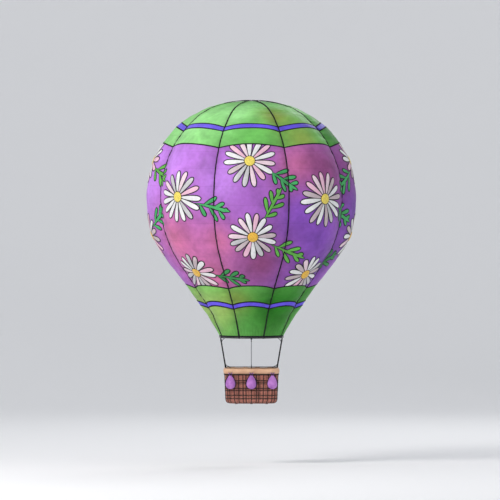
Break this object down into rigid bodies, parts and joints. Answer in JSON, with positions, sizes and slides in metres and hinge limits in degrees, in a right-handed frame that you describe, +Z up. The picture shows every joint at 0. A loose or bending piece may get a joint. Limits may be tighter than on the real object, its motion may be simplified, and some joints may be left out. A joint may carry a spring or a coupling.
{
  "type": "hot air balloon",
  "caption": "Small hot air balloon: lobed fabric envelope with flower panels, parachute vent, gimballed double burner, and a wicker basket with a padded rim and ballast bags.",
  "frame": {"origin": "mount air: on the envelope's axis at its widest level, where the balloon is held in the air", "axes": "+Z up along the envelope's axis; the basket's front, with three ballast bags, faces -Y; +X to its right"},
  "size_m": [7.4824, 7.4824, 10.8881],
  "materials": {
    "envelope_green": "matte light green ripstop cloth",
    "envelope_violet": "matte blue-violet cloth",
    "envelope_flowers": "matte purple cloth with daisies",
    "load_tape": "black webbing",
    "riser_cover": "black padded sleeves",
    "ring_steel": "dark satin paint",
    "gimbal_steel": "satin",
    "burner_brass": "satin",
    "burner_steel": "satin, heat-stained at the top",
    "rim_leather": "peach leather over padding",
    "wicker": "red-brown woven cane",
    "plywood": "oiled",
    "tank_steel": "satin",
    "hose_rubber": "matte",
    "bag_cloth": "matte violet canvas"
  },
  "bodies": {
    "balloon": {"crown_panels": "envelope_green", "shoulder_panels": "envelope_green", "waist_panels": "envelope_green", "skirt_panels": "envelope_green", "upper_stripe": "envelope_violet", "lower_stripe": "envelope_violet", "flower_panel_1": "envelope_flowers", "flower_panel_2": "envelope_flowers", "flower_panel_3": "envelope_flowers", "flower_panel_4": "envelope_flowers", "flower_panel_5": "envelope_flowers", "flower_panel_6": "envelope_flowers", "flower_panel_7": "envelope_flowers", "flower_panel_8": "envelope_flowers", "load_tapes": "load_tape", "riser_1": "riser_cover", "riser_2": "riser_cover", "riser_3": "riser_cover", "riser_4": "riser_cover", "riser_5": "riser_cover", "riser_6": "riser_cover", "load_ring": "ring_steel", "burner_frame": "ring_steel", "rim_pad": "rim_leather", "basket_wall": "wicker", "basket_floor": "plywood", "skid_frame": "plywood", "fuel_tank_1": "tank_steel", "fuel_tank_2": "tank_steel", "fuel_hose_1": "hose_rubber", "fuel_hose_2": "hose_rubber"},
    "parachute": {"parachute_panel": "envelope_green", "parachute_boss": "gimbal_steel"},
    "gimbal": {"gimbal_ring": "gimbal_steel"},
    "burner": {"burner_block": "burner_brass", "burner_can_1": "burner_steel", "burner_can_2": "burner_steel", "burner_coil_1": "burner_brass", "burner_coil_2": "burner_brass"},
    "bag_1": {"sandbag_1": "bag_cloth"},
    "bag_2": {"sandbag_2": "bag_cloth"},
    "bag_3": {"sandbag_3": "bag_cloth"},
    "bag_4": {"sandbag_4": "bag_cloth"},
    "bag_5": {"sandbag_5": "bag_cloth"},
    "bag_6": {"sandbag_6": "bag_cloth"}
  },
  "joints": [
    {"name": "vent_slide", "type": "slide", "parent": "balloon", "child": "parachute", "axis": [0, 0, 1], "range_m": [-0.6, 0], "stiffness_N_per_m": 100, "springref_m": 2},
    {"name": "gimbal_tilt", "type": "hinge", "parent": "balloon", "child": "gimbal", "pos_m": [0, 0, -5.022], "axis": [1, 0, 0], "range_deg": [-20, 20]},
    {"name": "burner_tilt", "type": "hinge", "parent": "gimbal", "child": "burner", "pos_m": [0, 0, -5.022], "axis": [0, 1, 0], "range_deg": [-20, 20]},
    {"name": "bag_swing_1", "type": "hinge", "parent": "balloon", "child": "bag_1", "pos_m": [-0.755, -0.89, -6.28], "axis": [-1, 0, 0], "range_deg": [0, 50]},
    {"name": "bag_swing_2", "type": "hinge", "parent": "balloon", "child": "bag_2", "pos_m": [0, -0.89, -6.28], "axis": [-1, 0, 0], "range_deg": [0, 50]},
    {"name": "bag_swing_3", "type": "hinge", "parent": "balloon", "child": "bag_3", "pos_m": [0.755, -0.89, -6.28], "axis": [-1, 0, 0], "range_deg": [0, 50]},
    {"name": "bag_swing_4", "type": "hinge", "parent": "balloon", "child": "bag_4", "pos_m": [-0.755, 0.89, -6.28], "axis": [1, 0, 0], "range_deg": [0, 50]},
    {"name": "bag_swing_5", "type": "hinge", "parent": "balloon", "child": "bag_5", "pos_m": [0, 0.89, -6.28], "axis": [1, 0, 0], "range_deg": [0, 50]},
    {"name": "bag_swing_6", "type": "hinge", "parent": "balloon", "child": "bag_6", "pos_m": [0.755, 0.89, -6.28], "axis": [1, 0, 0], "range_deg": [0, 50]}
  ]
}
